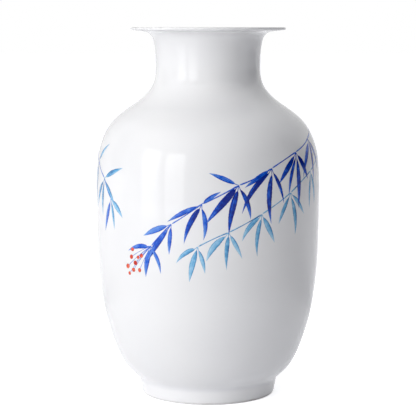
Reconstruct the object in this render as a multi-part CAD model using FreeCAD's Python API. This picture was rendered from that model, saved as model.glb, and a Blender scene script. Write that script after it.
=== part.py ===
import FreeCAD, Part

import math
import os

# A porcelain baluster vase, about a foot tall, with a wide everted mouth.
# It is thrown in four sections that are luted together with slip: foot ring,
# lower belly with the floor, shoulder, and neck with the mouth. Three coats of
# glaze go over the biscuit: outside, inside and in the recess under the foot.
# Lengths are in millimetres. The vase stands on z = 0, with its axis on z.

# Belly: its radius, and how far in from it the outside lies above and below
belly_radius = 91.3
shoulder_inset = 9.1
lower_belly_inset = 5.1
heel_inset = 16.5

# Neck: its least radius, and how far the outside flares from it to each end
waist_radius = 42.4
neck_root_flare = 5.0
neck_top_flare = 1.8

# Mouth: how far its flat rim reaches out from the top of the neck
rim_reach = 18.8

# Foot: its radius where the glaze is wiped off, and its flare up to the crease
foot_radius = 54.9
foot_flare = 1.5

# Places between two of these, as shares of the way from the inner to the outer
underside_share = 0.37
collar_share = 0.408
flange_root_share = 0.401

# How far each part of the outside lies above the one before it
foot_height = 10.0
underside_rise = 8.9
heel_rise = 18.0
lower_belly_rise = 39.8
belly_rise = 86.6
shoulder_rise = 54.2
collar_rise = 19.4
neck_root_rise = 12.7
waist_rise = 17.6
neck_top_rise = 21.9
flange_root_rise = 7.4
flange_rise = 1.3

# Direction of the outside at each of these: 0 degrees is outwards and 90 is up
underside_angle_deg = 42.5
heel_angle_deg = 68.0
lower_belly_angle_deg = 80.7
shoulder_angle_deg = 119.4
collar_angle_deg = 147.1
neck_root_angle_deg = 126.6
neck_top_angle_deg = 77.8
flange_root_angle_deg = 11.4
flange_angle_deg = 6.0

# Thickness of the wall with its glaze, from the floor up
floor_thickness = 7.4
heel_wall = 5.8
lower_belly_wall = 5.0
belly_wall = 4.8
shoulder_wall = 4.8
collar_wall = 4.8
neck_root_wall = 4.5
neck_wall = 3.9
neck_top_wall = 3.6
flange_wall = 2.9
lip_thickness = 2.2

# Foot ring, and the recess that is turned out inside it
foot_ring_width = 7.4
foot_edge_round = 1.2
recess_depth = 8.0
recess_fillet = 2.0

# Glaze, and the height above the table at which it is wiped off the foot
glaze_thickness = 0.4
glaze_line_height = 2.0

# Joints between the thrown sections
slip_thickness = 0.5
foot_joint_rise = 1.3
belly_spigot_height = 4.0

# How far a cutting shape runs past what it cuts
overrun = 20.0

# Heights above the table
floor_height = recess_depth + floor_thickness
foot_joint_height = recess_depth + foot_joint_rise
underside_height = foot_height + underside_rise
heel_height = underside_height + heel_rise
lower_belly_height = heel_height + lower_belly_rise
belly_height = lower_belly_height + belly_rise
shoulder_height = belly_height + shoulder_rise
collar_height = shoulder_height + collar_rise
neck_root_height = collar_height + neck_root_rise
waist_height = neck_root_height + waist_rise
neck_top_height = waist_height + neck_top_rise
flange_root_height = neck_top_height + flange_root_rise
lip_underside_height = flange_root_height + flange_rise
mouth_height = lip_underside_height + lip_thickness


def between_radii(inner, outer, share):
    """A radius that lies a share of the way out from one to the other."""
    return inner + (outer - inner) * share


# Radii
lower_belly_radius = belly_radius - lower_belly_inset
heel_radius = belly_radius - heel_inset
shoulder_radius = belly_radius - shoulder_inset
foot_top_radius = foot_radius + foot_flare
underside_radius = between_radii(foot_top_radius, heel_radius, underside_share)
neck_root_radius = waist_radius + neck_root_flare
collar_radius = between_radii(neck_root_radius, shoulder_radius, collar_share)
neck_top_radius = waist_radius + neck_top_flare
lip_radius = neck_top_radius + rim_reach
lip_crest_radius = lip_radius - lip_thickness / 2
flange_root_radius = between_radii(neck_top_radius, lip_crest_radius, flange_root_share)
recess_radius = foot_radius - foot_ring_width
boss_radius = recess_radius - recess_fillet

# Directions
OUTWARDS = 0
UP = math.degrees(math.pi / 2)
INWARDS = math.degrees(math.pi)
DOWN = -UP
foot_direction = math.degrees(math.atan2(foot_height - glaze_line_height, foot_flare))


class Station:
    """A point of an outline, with the outline's direction there in degrees."""

    def __init__(self, radius, height, direction):
        self.point = FreeCAD.Vector(radius, 0, height)
        self.direction = direction

    def along(self):
        """Unit vector along the outline."""
        angle = math.radians(self.direction)
        return FreeCAD.Vector(math.cos(angle), 0, math.sin(angle))

    def aside(self):
        """Unit vector square to the outline, on its right."""
        angle = math.radians(self.direction)
        return FreeCAD.Vector(math.sin(angle), 0, -math.cos(angle))

    def moved_aside(self, distance):
        """The same station, moved to the outline's right."""
        point = self.point + self.aside() * distance
        return Station(point.x, point.z, self.direction)


# Outlines are chains of stations, and each two neighbours share one round arc


def smooth_chain(stations):
    """Adds, between each two stations, the one where two tangent arcs meet."""
    chain = [stations[0]]
    for start, end in zip(stations, stations[1:]):
        if start.direction != end.direction:
            chain.append(arc_meeting(start, end))
        chain.append(end)
    return chain


def arc_meeting(start, end):
    """Where an arc that leaves one station meets the arc that reaches the next."""
    span = end.point - start.point
    both = start.along() + end.along()
    spread = 2 * (1 - start.along().dot(end.along()))
    root = math.sqrt(span.dot(both) ** 2 + spread * span.dot(span))
    arm = (root - span.dot(both)) / spread
    first = start.point + start.along() * arm
    last = end.point - end.along() * arm
    middle = (first + last) / 2
    direction = math.degrees(math.atan2(last.z - first.z, last.x - first.x))
    return Station(middle.x, middle.z, direction)


def moved_chain(chain, distance):
    """A chain parallel to another, on its right."""
    return [station.moved_aside(distance) for station in chain]


def chain_edges(chain):
    """One edge for each two neighbours of a chain."""
    return [span_edge(start, end) for start, end in zip(chain, chain[1:])]


def span_edge(start, end):
    """The arc between two stations, or a line where the direction stays."""
    turn = math.radians(end.direction - start.direction)
    if turn == 0:
        return Part.LineSegment(start.point, end.point).toShape()
    chord = end.point - start.point
    right = FreeCAD.Vector(chord.z, 0, -chord.x)
    top = (start.point + end.point) / 2 + right / 2 * math.tan(turn / 4)
    return Part.Arc(start.point, top, end.point).toShape()


def lines(points):
    """Edges that join points in order."""
    return [
        Part.LineSegment(start, end).toShape()
        for start, end in zip(points, points[1:])
    ]


def turned(edges):
    """A solid of revolution about the vase's axis, from a closed outline."""
    face = Part.Face(Part.Wire(Part.sortEdges(edges)[0]))
    axis_foot = FreeCAD.Vector(0, 0, 0)
    axis = FreeCAD.Vector(0, 0, 1)
    full_turn = 360
    return face.revolve(axis_foot, axis, full_turn)


def turned_polygon(corners):
    """A solid of revolution from a closed polygon of (radius, height) corners."""
    points = [FreeCAD.Vector(radius, 0, height) for radius, height in corners]
    return turned(lines(points + points[:1]))


# Outlines of the finished, glazed vase


def outside_stations():
    """The outside, from the glaze line on the foot to the crest of the lip."""
    return [
        Station(foot_radius, glaze_line_height, foot_direction),
        Station(foot_top_radius, foot_height, foot_direction),
        Station(underside_radius, underside_height, underside_angle_deg),
        Station(heel_radius, heel_height, heel_angle_deg),
        Station(lower_belly_radius, lower_belly_height, lower_belly_angle_deg),
        Station(belly_radius, belly_height, UP),
        Station(shoulder_radius, shoulder_height, shoulder_angle_deg),
        Station(collar_radius, collar_height, collar_angle_deg),
        Station(neck_root_radius, neck_root_height, neck_root_angle_deg),
        Station(waist_radius, waist_height, UP),
        Station(neck_top_radius, neck_top_height, neck_top_angle_deg),
        Station(flange_root_radius, flange_root_height, flange_root_angle_deg),
        Station(lip_crest_radius, lip_underside_height, flange_angle_deg),
        Station(lip_radius, mouth_height - lip_thickness / 2, UP),
        Station(lip_crest_radius, mouth_height, INWARDS),
    ]


def inside_stations():
    """The inside, from the middle of the floor to the crest of the lip."""
    walls = {
        heel_height: heel_wall,
        lower_belly_height: lower_belly_wall,
        belly_height: belly_wall,
        shoulder_height: shoulder_wall,
        collar_height: collar_wall,
        neck_root_height: neck_root_wall,
        waist_height: neck_wall,
        neck_top_height: neck_top_wall,
        flange_root_height: flange_wall,
    }
    wall_stations = [
        station.moved_aside(-walls[station.point.z])
        for station in outside_stations()
        if station.point.z in walls
    ]
    floor = [
        Station(0, floor_height, OUTWARDS),
        Station(boss_radius, floor_height, OUTWARDS),
    ]
    return floor + wall_stations + [Station(lip_crest_radius, mouth_height, OUTWARDS)]


def recess_chain():
    """The biscuit under the foot, from the axis out and down to the table."""
    return [
        Station(0, recess_depth, OUTWARDS),
        Station(boss_radius, recess_depth, OUTWARDS),
        Station(recess_radius, recess_depth - recess_fillet, DOWN),
        Station(recess_radius, glaze_line_height, DOWN),
        Station(recess_radius, foot_edge_round, DOWN),
        Station(recess_radius + foot_edge_round, 0, OUTWARDS),
    ]


def whole_biscuit(outside, inside):
    """All four sections and their slip as one solid, before it is divided."""
    foot_edge = Station(
        foot_radius - glaze_thickness - foot_edge_round, 0, OUTWARDS
    )
    outer = smooth_chain([foot_edge] + moved_chain(outside, -glaze_thickness)[:1])
    outer += moved_chain(outside, -glaze_thickness)[1:]
    inner = moved_chain(inside, glaze_thickness)
    recess = recess_chain()
    edges = chain_edges(outer) + chain_edges(inner) + chain_edges(recess)
    edges += lines([recess[-1].point, foot_edge.point])
    edges += lines([recess[0].point, inner[0].point])
    return turned(edges)


# Joints. Each is a path from the axis outwards through the wall: the lower
# section ends on the first path, and the upper one starts on the second.


def stepped_paths(height, step_radius, inner_height):
    """A rebated joint, at one height outside the step and another inside it."""
    clearance = math.copysign(slip_thickness, inner_height - height)
    lower = [(step_radius, inner_height), (step_radius, height)]
    upper = [
        (step_radius + clearance, inner_height + slip_thickness),
        (step_radius + clearance, height + slip_thickness),
    ]
    return lower, upper


def foot_joint():
    """The floor's boss drops into the ring, and the ring's top carries it."""
    return stepped_paths(
        foot_joint_height, boss_radius, recess_depth - slip_thickness
    )


def belly_joint():
    """The lower belly's spigot stands inside the shoulder section."""
    spigot_radius = belly_radius - belly_wall / 2
    return stepped_paths(
        belly_height, spigot_radius, belly_height + belly_spigot_height
    )


def neck_joint():
    """Both sections are bevelled square to the sloping wall."""
    root = Station(neck_root_radius, neck_root_height, neck_root_angle_deg)
    paths = []
    for rise in (-slip_thickness / 2, slip_thickness / 2):
        middle = root.point + root.along() * rise
        inner = middle - root.aside() * neck_root_wall * 2
        outer = middle + root.aside() * neck_root_wall
        paths.append([(inner.x, inner.z), (outer.x, outer.z)])
    return paths


def between(lower, upper):
    """Everything between two joint paths, out past the vase's widest part."""
    reach = max(belly_radius, lip_radius) + overrun
    ring = [(0, lower[0][1])] + lower + [(reach, lower[-1][1])]
    ring += [(reach, upper[-1][1])] + upper[::-1] + [(0, upper[0][1])]
    return turned_polygon(ring)


def sections_and_slip(biscuit):
    """Divides the biscuit into its thrown sections and the slip between them."""
    under = [(foot_radius, -overrun)]
    over = [(lip_radius, mouth_height + overrun)]
    foot_lower, foot_upper = foot_joint()
    belly_lower, belly_upper = belly_joint()
    neck_lower, neck_upper = neck_joint()
    bounds = {
        "foot_ring": (under, foot_lower),
        "foot_slip_joint": (foot_lower, foot_upper),
        "lower_belly_section": (foot_upper, belly_lower),
        "belly_slip_joint": (belly_lower, belly_upper),
        "shoulder_section": (belly_upper, neck_lower),
        "neck_slip_joint": (neck_lower, neck_upper),
        "neck_and_mouth_section": (neck_upper, over),
    }
    return {
        name: biscuit.common(between(*paths)) for name, paths in bounds.items()
    }


def coat(chain, outward):
    """A coat of glaze, on the right or the left of the biscuit that it covers."""
    glazed = chain_edges(moved_chain(chain, outward))
    caps = []
    for station in (chain[0], chain[-1]):
        caps += lines([station.point, station.moved_aside(outward).point])
    return turned(chain_edges(chain) + glazed + caps)


def recess_glaze():
    """The glaze under the foot, which stops at the glaze line on the ring."""
    covered = [
        station
        for station in recess_chain()
        if station.point.z >= glaze_line_height
    ]
    glazed = moved_chain(covered, glaze_thickness)
    edges = chain_edges(covered) + chain_edges(glazed)
    edges += lines([covered[-1].point, glazed[-1].point])
    edges += lines([covered[0].point, glazed[0].point])
    return turned(edges)


def build():
    """Every piece of the vase, by name."""
    outside = smooth_chain(outside_stations())
    inside = smooth_chain(inside_stations())
    pieces = sections_and_slip(whole_biscuit(outside, inside))
    biscuit_outside = moved_chain(outside, -glaze_thickness)
    biscuit_inside = moved_chain(inside, glaze_thickness)
    pieces["outer_glaze"] = coat(biscuit_outside, glaze_thickness)
    pieces["inner_glaze"] = coat(biscuit_inside, -glaze_thickness)
    pieces["foot_recess_glaze"] = recess_glaze()
    return pieces


def main():
    """Writes one file for each piece."""
    os.makedirs("parts", exist_ok=True)
    for name, shape in build().items():
        solid = shape.Solids[0]
        solid.exportStep(os.path.join("parts", name + ".step"))
        print(name, len(shape.Solids), round(solid.Volume), solid.isValid())


main()
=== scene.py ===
"""A glazed porcelain baluster vase, brush-painted with sprays of heavenly bamboo."""

import logging
import math
import random
from collections.abc import Callable, Iterable, Mapping, Sequence
from dataclasses import dataclass, field
from enum import Enum

import bpy
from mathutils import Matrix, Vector


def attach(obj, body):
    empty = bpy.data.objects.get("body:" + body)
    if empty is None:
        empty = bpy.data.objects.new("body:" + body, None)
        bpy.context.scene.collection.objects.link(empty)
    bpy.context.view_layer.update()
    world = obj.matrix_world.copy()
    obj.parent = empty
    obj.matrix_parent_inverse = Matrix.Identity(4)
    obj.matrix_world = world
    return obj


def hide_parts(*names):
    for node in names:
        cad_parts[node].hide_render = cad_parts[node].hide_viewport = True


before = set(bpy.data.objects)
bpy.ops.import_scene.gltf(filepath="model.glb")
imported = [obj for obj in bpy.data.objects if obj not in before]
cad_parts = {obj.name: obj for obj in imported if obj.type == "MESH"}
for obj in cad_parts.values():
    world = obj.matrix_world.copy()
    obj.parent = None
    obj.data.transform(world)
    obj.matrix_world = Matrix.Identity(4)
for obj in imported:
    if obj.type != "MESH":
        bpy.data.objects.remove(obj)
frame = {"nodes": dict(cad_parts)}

log = logging.getLogger("vase")

MM = 0.001
BODY = "root"
UV_NAME = "UVMap"
MIDDLE = 0.5

OUTWARDS = 0.0
UP = 90.0
INWARDS = 180.0
DOWN = -90.0

Colour = tuple[float, float, float]
Pair = tuple[float, float]


def linear(red: int, green: int, blue: int) -> Colour:
    """A colour for the shaders from the 8-bit values that a screen shows.

    Args:
        red, green, blue: Display values from 0 to 255.

    Returns:
        The same colour in linear light.
    """
    full, toe, toe_slope, offset, power = 255, 0.04045, 12.92, 0.055, 2.4
    shares = (red / full, green / full, blue / full)
    return tuple(
        share / toe_slope if share <= toe else ((share + offset) / (1 + offset)) ** power
        for share in shares
    )


def enabled(sockets: Iterable[bpy.types.NodeSocket], name: str) -> bpy.types.NodeSocket:
    """The socket of that name that the node's settings have switched on."""
    return next(socket for socket in sockets if socket.name == name and socket.enabled)


def linked(name: str, data: bpy.types.ID) -> bpy.types.Object:
    """Makes an object and puts it in the scene.

    Args:
        name: The object's name.
        data: Its mesh, lamp or camera.

    Returns:
        The new object.
    """
    made = bpy.data.objects.new(name, data)
    bpy.context.scene.collection.objects.link(made)
    return made


def node_operator(operation: str, swapped: bool = False) -> Callable[["Wire", object], "Wire"]:
    """An operator for wires that adds one Math node.

    Args:
        operation: What the node does.
        swapped: Whether the wire is the second term.

    Returns:
        The operator, as a method.
    """

    def method(wire: "Wire", other: "Wire | float") -> "Wire":
        """The node's answer."""
        terms = (other, wire) if swapped else (wire, other)
        return wire.bench.maths(operation, *terms)

    return method


class Wire:
    """An output of a node, on which sums can be written as on a number."""

    __add__ = __radd__ = node_operator("ADD")
    __sub__ = node_operator("SUBTRACT")
    __rsub__ = node_operator("SUBTRACT", swapped=True)
    __mul__ = __rmul__ = node_operator("MULTIPLY")
    __truediv__ = node_operator("DIVIDE")

    def __init__(self, bench: "NodeBench", socket: bpy.types.NodeSocket) -> None:
        """Keeps the socket and the bench that its sums are made on."""
        self.bench = bench
        self.socket = socket


class Placed:
    """A node in a tree; its outputs are read by name."""

    def __init__(self, bench: "NodeBench", node: bpy.types.Node) -> None:
        """Keeps the node and its bench."""
        self.bench = bench
        self.node = node

    def __getitem__(self, name: str) -> Wire:
        """The output of that name."""
        return Wire(self.bench, enabled(self.node.outputs, name))


class NodeBench:
    """Builds a node tree, shader or geometry, one node to a call."""

    def __init__(self, tree: bpy.types.NodeTree) -> None:
        """Starts with the tree empty."""
        self.tree = tree
        tree.nodes.clear()

    def add(self, kind: str, inputs: Mapping | None = None, **settings: object) -> Placed:
        """Adds one node.

        Args:
            kind: The node's type.
            inputs: A value or a Wire for each input, by name or by number.
            settings: Its properties, and as "stops" a ramp's (place, colour) pairs.

        Returns:
            The node.
        """
        node = self.tree.nodes.new(kind)
        for name, value in settings.items():
            if name == "stops":
                self._set_stops(node.color_ramp, value)
            else:
                setattr(node, name, value)
        for key, value in (inputs or {}).items():
            self._feed(node.inputs[key] if isinstance(key, int) else enabled(node.inputs, key), value)
        return Placed(self, node)

    def maths(self, operation: str, *terms: Wire | float) -> Wire:
        """One Math node on numbers."""
        return self.add("ShaderNodeMath", dict(enumerate(terms)), operation=operation)["Value"]

    def vector_maths(self, operation: str, *terms: object) -> Wire:
        """One Vector Math node whose answer is a vector."""
        return self.add("ShaderNodeVectorMath", dict(enumerate(terms)), operation=operation)["Vector"]

    def scaled(self, vector: Wire, factor: Wire | float) -> Wire:
        """A vector times a number."""
        inputs = {0: vector, "Scale": factor}
        return self.add("ShaderNodeVectorMath", inputs, operation="SCALE")["Vector"]

    def vector(self, x: Wire | float, y: Wire | float, z: Wire | float) -> Wire:
        """A vector from three numbers."""
        return self.add("ShaderNodeCombineXYZ", {"X": x, "Y": y, "Z": z})["Vector"]

    def split(self, vector: Wire) -> tuple[Wire, Wire, Wire]:
        """The three numbers of a vector."""
        parts = self.add("ShaderNodeSeparateXYZ", {"Vector": vector})
        return parts["X"], parts["Y"], parts["Z"]

    def mixed(self, share: Wire | float, first: object, second: object) -> Wire:
        """A blend of two colours."""
        inputs = {"Factor": share, "A": first, "B": second}
        return self.add("ShaderNodeMix", inputs, data_type="RGBA")["Result"]

    def eased(self, value: Wire, span: Pair) -> Wire:
        """0 before the span, 1 after it, and a smooth step across it."""
        inputs = {"Value": value, "From Min": span[0], "From Max": span[1]}
        return self.add("ShaderNodeMapRange", inputs, interpolation_type="SMOOTHSTEP")["Result"]

    def noise(self, place: Wire, scale: Wire | float, detail: float = 2.0) -> Wire:
        """Smooth noise about MIDDLE."""
        inputs = {"Vector": place, "Scale": scale, "Detail": detail}
        return Wire(self, self.add("ShaderNodeTexNoise", inputs, noise_dimensions="3D").node.outputs[0])

    def watched(self) -> tuple[Wire, Wire]:
        """Whether a ray is the camera's, straight or through something clear, and whether a gloss's."""
        path = self.add("ShaderNodeLightPath")
        return path["Is Camera Ray"] + path["Is Transmission Ray"], path["Is Glossy Ray"]

    def _set_stops(self, ramp: bpy.types.ColorRamp, stops: Iterable[tuple[float, Colour]]) -> None:
        """Gives a colour ramp its stops.

        Args:
            ramp: The ramp.
            stops: The place and the colour of each stop.
        """
        while len(ramp.elements) > 1:
            ramp.elements.remove(ramp.elements[0])
        for number, (place, colour) in enumerate(stops):
            element = ramp.elements.new(place) if number else ramp.elements[0]
            element.position = place
            element.color = (*colour, 1.0)

    def _feed(self, socket: bpy.types.NodeSocket, value: object) -> None:
        """Links a Wire to an input, or sets the input's own value.

        Args:
            socket: The input.
            value: The Wire, number, colour, vector or name.
        """
        if isinstance(value, Wire):
            self.tree.links.new(value.socket, socket)
        elif socket.type == "RGBA":
            socket.default_value = (*value, 1.0)
        else:
            socket.default_value = value


class ShaderBench(NodeBench):
    """A material's nodes, ending in one glossy or matt surface."""

    def __init__(self, name: str) -> None:
        """Starts a new material.

        Args:
            name: The material's name.
        """
        self.material = bpy.data.materials.new(name)
        self.material.use_nodes = True
        super().__init__(self.material.node_tree)

    def place(self) -> Wire:
        """Where on the piece the shading is worked out, in metres."""
        return self.add("ShaderNodeTexCoord")["Object"]

    def attribute(self, name: str, output: str) -> Wire:
        """A value that the mesh carries."""
        return self.add("ShaderNodeAttribute", attribute_name=name)[output]

    def relief(self, height: Wire, depth: float) -> Wire:
        """A bumped normal, where a step of 1 in the height is so many metres deep."""
        return self.add("ShaderNodeBump", {"Height": height, "Distance": depth})["Normal"]

    def finish(self, surface: Mapping[str, object]) -> bpy.types.Material:
        """Ends the tree in a Principled surface.

        Args:
            surface: The surface's inputs, by name.

        Returns:
            The material.
        """
        shader = self.add("ShaderNodeBsdfPrincipled", surface)["BSDF"]
        self.add("ShaderNodeOutputMaterial", {"Surface": shader})
        return self.material


@dataclass(frozen=True)
class WhiteGlaze:
    """Clear glaze over white clay: glossy, faintly blue where it lies thick.

    Lengths are in metres. A span is where a change begins and where it ends. The colour also
    holds painted shade in the foot's crease and a painted light from the floor's bounce below it.
    """

    white: Colour = (0.832, 0.832, 0.833)
    # cool tone for the random clouds and for thick glaze in the crease, where it is also painted shade
    pooled_and_shaded: Colour = (0.765, 0.775, 0.82)
    thin: Colour = (0.82, 0.812, 0.80)
    # painted light: a lighter white for the foot's lowest glaze, standing in for light bounced up from the
    # floor
    floor_bounce_white: Colour = (0.895, 0.893, 0.896)
    cloud_scale: float = 14.0
    cloud_detail: float = 3.0
    cloud_span: Pair = (0.35, 0.75)
    cloud_share: float = 0.15
    crease_height: float = 11.5 * MM
    crease_span: Pair = (0.0, 5.0 * MM)
    pool_and_shade_share: float = 0.45
    lip_heights: Pair = (299.2 * MM, 300.2 * MM)
    lip_share: float = 0.6
    floor_bounce_heights: Pair = (9.0 * MM, 16.0 * MM)
    gloss: float = 0.05
    gloss_change: float = 0.02
    edge_heights: Pair = (296.0 * MM, 298.0 * MM)
    edge_facing: Pair = (0.5, 0.9)
    edge_softer: float = 0.35
    peel_scale: float = 170.0
    peel_depth: float = 0.006 * MM
    ring_spacing: float = 7.0 * MM
    ring_depth: float = 0.004 * MM
    drift_scale: float = 30.0
    drift: float = 1.2
    calm_heights: Pair = (258.0 * MM, 278.0 * MM)
    ior: float = 1.52

    def material(self) -> bpy.types.Material:
        """Builds the material.

        Returns:
            Random clouds, a thick-glaze tint that is also painted shade in the foot's crease, the thin
            lip, and a painted light from the floor's bounce low on the foot, all in the colour; orange
            peel and throwing rings in the relief; and a softer gloss on the lip's edge and underside.
        """
        bench = ShaderBench("white_glaze")
        place = bench.place()
        height = bench.split(place)[2]
        clouds = bench.noise(place, self.cloud_scale, self.cloud_detail)
        away = bench.maths("ABSOLUTE", height - self.crease_height)
        # painted shade: the glaze turns darker and cooler in the foot's crease, partly the tint of thick
        # glaze and partly shade
        pool_and_shade = (1.0 - bench.eased(away, self.crease_span)) * self.pool_and_shade_share
        lip = bench.eased(height, self.lip_heights) * self.lip_share
        patch = bench.eased(clouds, self.cloud_span) * self.cloud_share
        tone = bench.mixed(patch, self.white, self.pooled_and_shaded)
        tone = bench.mixed(pool_and_shade, tone, self.pooled_and_shaded)
        tone = bench.mixed(lip, tone, self.thin)
        # painted light: below these heights the glaze is lighter, to stand in for the floor's bounce light
        # on the foot
        tone = bench.mixed(bench.eased(height, self.floor_bounce_heights), self.floor_bounce_white, tone)
        facing = bench.split(bench.add("ShaderNodeNewGeometry")["Normal"])[2]
        edge = bench.eased(height, self.edge_heights) * (1.0 - bench.eased(facing, self.edge_facing))
        gloss = self.gloss + (clouds - MIDDLE) * self.gloss_change + edge * self.edge_softer
        peel = bench.noise(place, self.peel_scale, 1.0)
        drift = bench.noise(place, self.drift_scale, 1.0) * self.drift
        rings = bench.maths("SINE", (height / self.ring_spacing + drift) * math.tau)
        calm = bench.eased(height, self.calm_heights)
        relief = (peel * self.peel_depth + rings * self.ring_depth) * (1.0 - calm)
        normal = bench.relief(relief, 1.0)
        return bench.finish(
            {"Base Color": tone, "Roughness": gloss, "IOR": self.ior, "Normal": normal}
        )


@dataclass(frozen=True)
class BareClay:
    """Fired porcelain with no glaze: matt, warm white, with a fine grain.

    Lengths are in metres.
    """

    name: str = "bare_porcelain"
    pale: Colour = (0.785, 0.78, 0.775)
    toasted: Colour = (0.70, 0.665, 0.63)
    toast_scale: float = 60.0
    toast_detail: float = 4.0
    toast_span: Pair = (0.48, 0.74)
    toast_share: float = 0.55
    speck_scale: float = 700.0
    speck_span: Pair = (0.70, 0.78)
    speck_share: float = 0.45
    grain_scale: float = 2200.0
    grain_detail: float = 3.0
    grain_depth: float = 0.05 * MM
    roughness: float = 0.82
    roughness_change: float = 0.2

    def material(self) -> bpy.types.Material:
        """Builds the material.

        Returns:
            Toasted patches and specks in the colour, and a grain in the relief.
        """
        bench = ShaderBench(self.name)
        place = bench.place()
        toast = bench.eased(bench.noise(place, self.toast_scale, self.toast_detail), self.toast_span)
        specks = bench.eased(bench.noise(place, self.speck_scale), self.speck_span)
        grain = bench.noise(place, self.grain_scale, self.grain_detail)
        tone = bench.mixed(toast * self.toast_share, self.pale, self.toasted)
        tone = bench.mixed(specks * self.speck_share, tone, self.toasted)
        roughness = self.roughness + (grain - MIDDLE) * self.roughness_change
        normal = bench.relief(grain, self.grain_depth)
        return bench.finish({"Base Color": tone, "Roughness": roughness, "Normal": normal})


class Paint(Enum):
    """The three paints on the vase, with the record's slot of each."""

    COBALT = "cobalt_paint"
    AZURE = "azure_paint"
    VERMILION = "vermilion_paint"


@dataclass(frozen=True)
class BrushPaint:
    """Paint laid with a brush: thin at its edge, streaked along the stroke.

    Scales are in waves to the metre, and steps set the strokes' noises apart.
    """

    paint: Paint
    thin: Colour
    body: Colour
    thick: Colour
    body_depth: float = 0.40
    thick_depth: float = 0.85
    hair_scales: Pair = (60.0, 1500.0)
    hair_step: float = 37.0
    fine_detail: float = 3.0
    wet_scales: Pair = (220.0, 220.0)
    wet_step: float = 11.0
    rag_scales: Pair = (900.0, 260.0)
    rag_step: float = 5.0
    edge_ragged: float = 0.26
    edge_span: Pair = (0.82, 0.96)
    rim_span: Pair = (0.45, 0.82)
    rim_load: float = 0.22
    dry_span: Pair = (0.62, 1.0)
    gap_span: Pair = (0.56, 0.70)
    dryness: float = 0.5
    dry_thinning: float = 0.35
    side_load: float = 0.22
    even_load: float = 0.62
    wet_load: float = 1.6
    hair_load: float = 1.2
    gloss: float = 0.13
    ior: float = 1.52

    def material(self) -> bpy.types.Material:
        """Builds the material, which reads what the brush left on the mesh.

        Returns:
            A colour from how deep the paint lies, and no paint past the ragged edge.
        """
        bench = ShaderBench(self.paint.value)
        run, side, seed = bench.split(bench.attribute("brush", "Vector"))
        load = bench.attribute("load", "Fac")
        along, across, _ = bench.split(bench.add("ShaderNodeUVMap", uv_map=UV_NAME)["UV"])
        off_centre = bench.maths("ABSOLUTE", across * 2.0 - 1.0)
        noises = []
        for scales, step, detail in (
            (self.hair_scales, self.hair_step, self.fine_detail),
            (self.wet_scales, self.wet_step, 2.0),
            (self.rag_scales, self.rag_step, self.fine_detail),
        ):
            place = bench.vector(run * scales[0], side * scales[1], seed * step)
            noises.append(bench.noise(place, 1.0, detail))
        hairs, wet, rag = noises
        edge = off_centre + (rag - MIDDLE) * self.edge_ragged
        inside = 1.0 - bench.eased(edge, self.edge_span)
        rim = bench.eased(edge, self.rim_span) * self.rim_load
        dry_end = bench.eased(along, self.dry_span) * self.dryness
        gaps = bench.eased(hairs, self.gap_span) * dry_end
        tilt = (across - MIDDLE) * self.side_load * 2.0
        uneven = (wet - MIDDLE) * self.wet_load + (hairs - MIDDLE) * self.hair_load
        depth = load * (self.even_load + uneven) + rim + tilt - dry_end * self.dry_thinning
        stops = [(0.0, self.thin), (self.body_depth, self.body), (self.thick_depth, self.thick)]
        tone = bench.add("ShaderNodeValToRGB", {"Fac": depth}, stops=stops)["Color"]
        alpha = inside * (1.0 - gaps)
        return bench.finish(
            {"Base Color": tone, "Roughness": self.gloss, "IOR": self.ior, "Alpha": alpha}
        )


@dataclass(frozen=True)
class Station:
    """A point of an outline: radius and height in metres, direction in degrees."""

    radius: float
    height: float
    direction: float

    def point(self) -> Vector:
        """The point, in the plane y = 0."""
        return Vector((self.radius, 0.0, self.height))

    def along(self) -> Vector:
        """Unit vector along the outline."""
        angle = math.radians(self.direction)
        return Vector((math.cos(angle), 0.0, math.sin(angle)))

    def moved_aside(self, distance: float) -> "Station":
        """Moves the station square to the outline.

        Args:
            distance: How far to the outline's right, in metres.

        Returns:
            A new station with the same direction.
        """
        along = self.along()
        radius = self.radius + along.z * distance
        height = self.height - along.x * distance
        return Station(radius, height, self.direction)


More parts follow.
